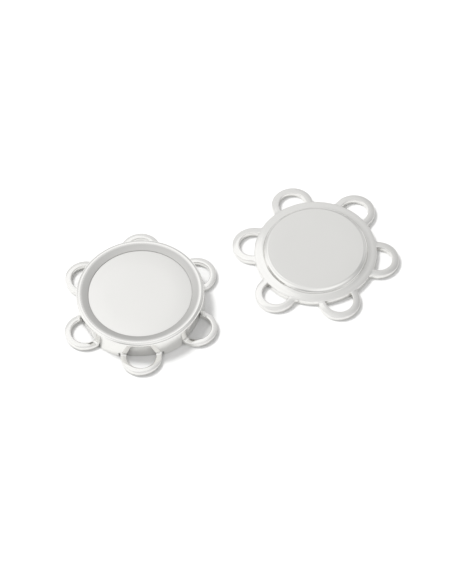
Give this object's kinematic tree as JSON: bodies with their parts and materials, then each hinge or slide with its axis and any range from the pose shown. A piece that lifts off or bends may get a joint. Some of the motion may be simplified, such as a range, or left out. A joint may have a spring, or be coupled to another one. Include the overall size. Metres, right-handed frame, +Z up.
{
  "type": "sew-on magnetic snap",
  "caption": "Sew-on magnetic snap: a round socket half with a rolled rim and a flanged stud half, both ringed by half-ring thread loops, lying open side by side.",
  "frame": {"origin": "centre of the socket half's flat sewing face, on the surface that both halves lie on", "axes": "+Z up, out of both mating faces; +X from the socket half towards the stud half; +Y to the back as pictured"},
  "size_m": [0.0474, 0.0311, 0.0035],
  "materials": {
    "plated_shell": "satin nickel plate",
    "face_plate": "satin nickel plate",
    "magnet": "plain",
    "inner_cup": "satin nickel plate",
    "iron_core": "plain"
  },
  "bodies": {
    "root": {"socket_shell": "plated_shell", "socket_face": "face_plate", "socket_magnet": "magnet", "socket_cup": "inner_cup", "stud_shell": "plated_shell", "stud_core": "iron_core"}
  },
  "joints": []
}
